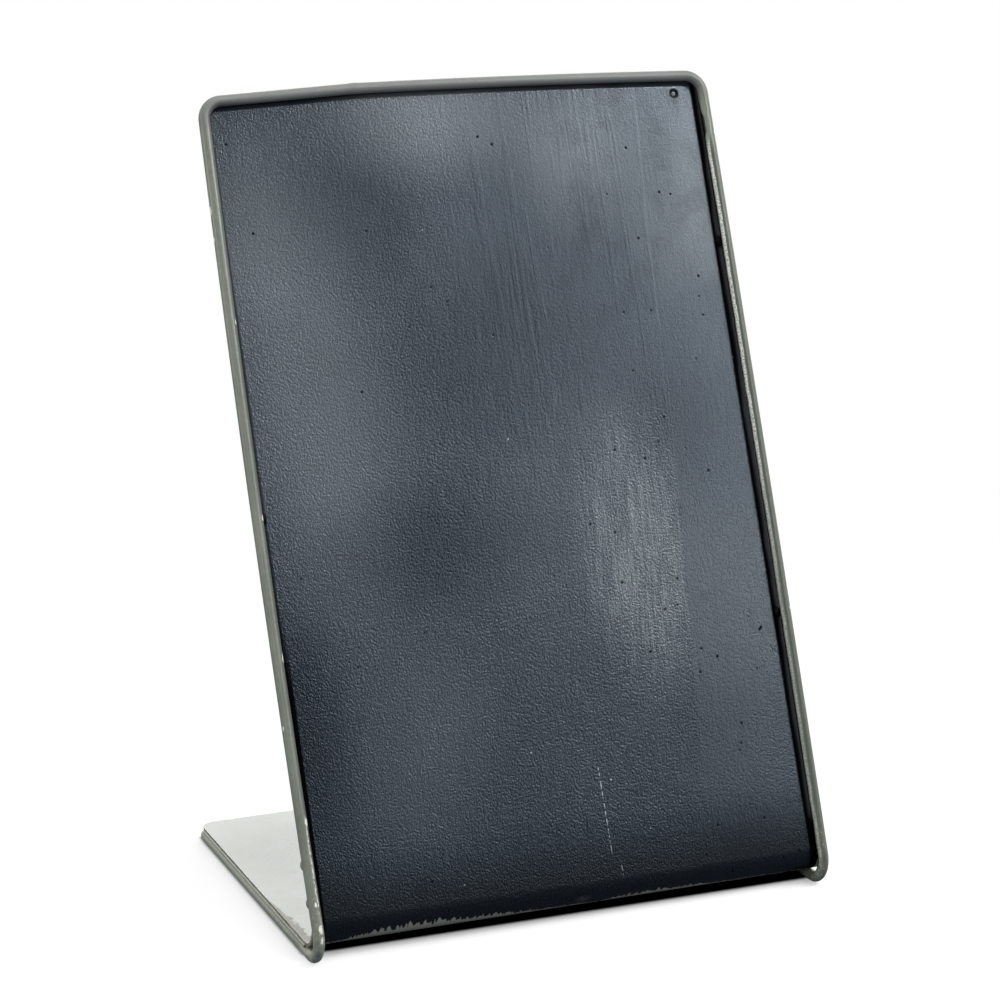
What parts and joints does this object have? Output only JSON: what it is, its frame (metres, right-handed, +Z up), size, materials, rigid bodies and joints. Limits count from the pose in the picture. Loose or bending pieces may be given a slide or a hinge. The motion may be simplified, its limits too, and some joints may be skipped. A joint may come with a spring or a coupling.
{
  "type": "table-top blackboard",
  "caption": "Small leaning blackboard for a table: black-painted folded sheet set in a loop of round wire, whose foot runs back under it as the stand.",
  "frame": {"origin": "on the table, under the middle of the overall box", "axes": "+X to the reader's right, +Y back along the foot, +Z up; the writing side faces -Y and leans back"},
  "size_m": [0.1512, 0.1078, 0.2189],
  "materials": {
    "frame_paint": "grey-green satin paint, brushed on, chipped along the wire",
    "weld_paint": "grey-green satin paint over small weld beads",
    "sheet_paint": "pale grey-green satin paint on thin steel sheet",
    "blackboard_paint": "blue-black blackboard paint, satin, with brush strokes and fine orange peel"
  },
  "bodies": {
    "root": {"wire_frame": "frame_paint", "frame_weld": "weld_paint", "folded_sheet": "sheet_paint", "blackboard_coat": "blackboard_paint", "left_face_tack_1": "weld_paint", "right_face_tack_1": "weld_paint", "right_face_tack_2": "weld_paint", "left_edge_tack_1": "weld_paint", "left_edge_tack_2": "weld_paint", "right_edge_tack_1": "weld_paint", "right_edge_tack_2": "weld_paint", "top_tack_left": "weld_paint", "top_tack_right": "weld_paint", "left_foot_tack_1": "weld_paint", "left_foot_tack_2": "weld_paint", "right_foot_tack_1": "weld_paint", "right_foot_tack_2": "weld_paint", "rear_tack_left": "weld_paint", "rear_tack_right": "weld_paint"}
  },
  "joints": []
}
